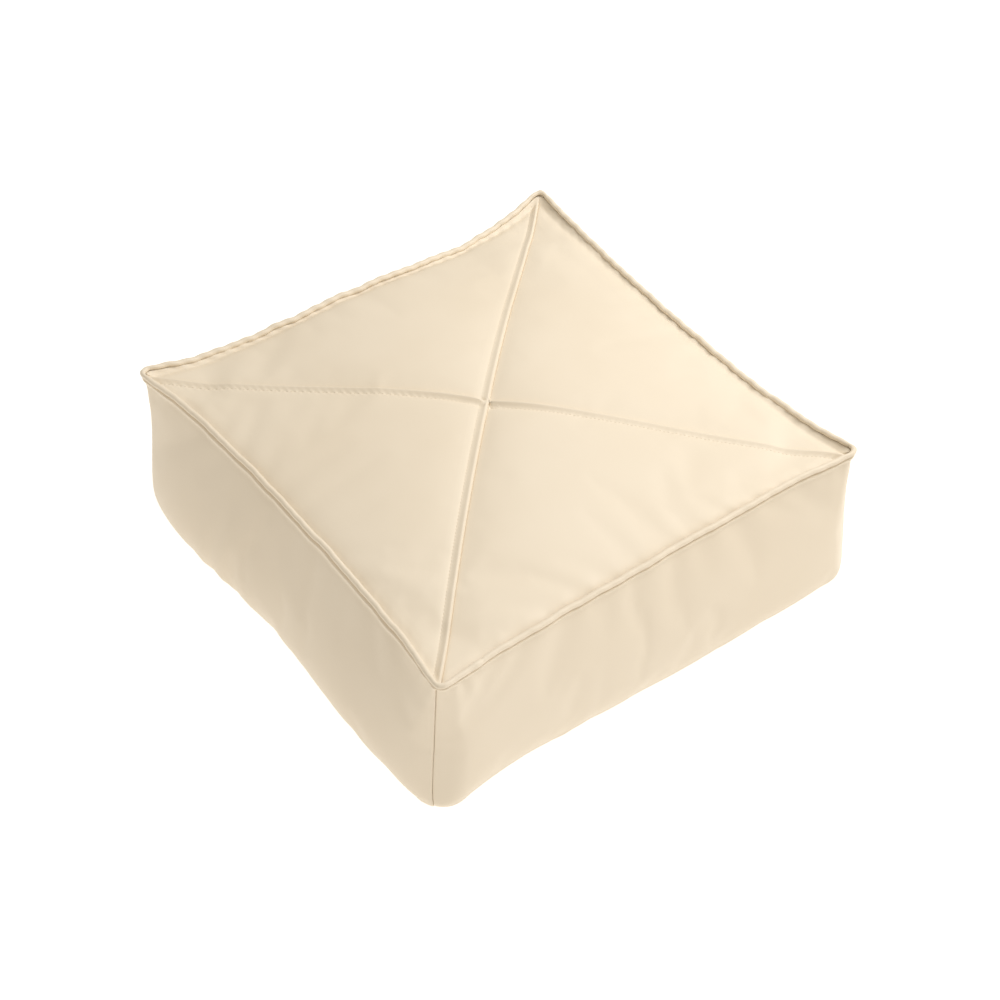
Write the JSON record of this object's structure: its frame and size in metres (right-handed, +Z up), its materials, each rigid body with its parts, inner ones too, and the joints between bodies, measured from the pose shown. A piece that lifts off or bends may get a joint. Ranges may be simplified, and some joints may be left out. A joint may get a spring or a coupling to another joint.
{
  "type": "floor cushion",
  "caption": "Square boxed floor cushion: top of triangular panels with crossed diagonal seams, piped top edge, soft rounded base and a zipped removable cover over a foam core.",
  "frame": {"origin": "centre of the flat base, on the floor", "axes": "+Z up; +X and +Y along the square's sides, with the zip on the +Y side, which is the back; the -Y side is the front"},
  "size_m": [0.6108, 0.6094, 0.224],
  "materials": {
    "cover_cloth": "matte",
    "piping_filler": "matte",
    "zip_tape": "matte",
    "zip_coil": "satin",
    "zip_metal": "satin",
    "liner_cloth": "matte",
    "wadding": "matte",
    "foam_soft": "matte",
    "foam_firm": "matte"
  },
  "bodies": {
    "cushion": {"top_panel_front": "cover_cloth", "top_panel_right": "cover_cloth", "top_panel_back": "cover_cloth", "top_panel_left": "cover_cloth", "side_panel_front": "cover_cloth", "side_panel_right": "cover_cloth", "side_panel_left": "cover_cloth", "back_strip_upper": "cover_cloth", "back_strip_lower": "cover_cloth", "base_panel": "cover_cloth", "piping_cover": "cover_cloth", "piping_cord": "piping_filler", "zip_tape_upper": "zip_tape", "zip_tape_lower": "zip_tape", "zip_coil_upper": "zip_coil", "zip_coil_lower": "zip_coil", "zip_stop_closed_end": "zip_metal", "zip_stop_open_end": "zip_metal", "liner_top": "liner_cloth", "liner_side_band": "liner_cloth", "liner_base": "liner_cloth", "wadding_top": "wadding", "foam_soft_layer": "foam_soft", "foam_firm_layer": "foam_firm"},
    "zip_slider": {"zip_slider": "zip_metal"},
    "zip_pull": {"zip_pull_tab": "zip_metal"}
  },
  "joints": [
    {"name": "zip_travel", "type": "slide", "parent": "cushion", "child": "zip_slider", "axis": [-1, 0, 0], "range_m": [0, 0.392]},
    {"name": "zip_pull_flip", "type": "hinge", "parent": "zip_slider", "child": "zip_pull", "pos_m": [0.196, 0.302, 0.098], "axis": [0, 0, -1], "range_deg": [0, 175]}
  ]
}
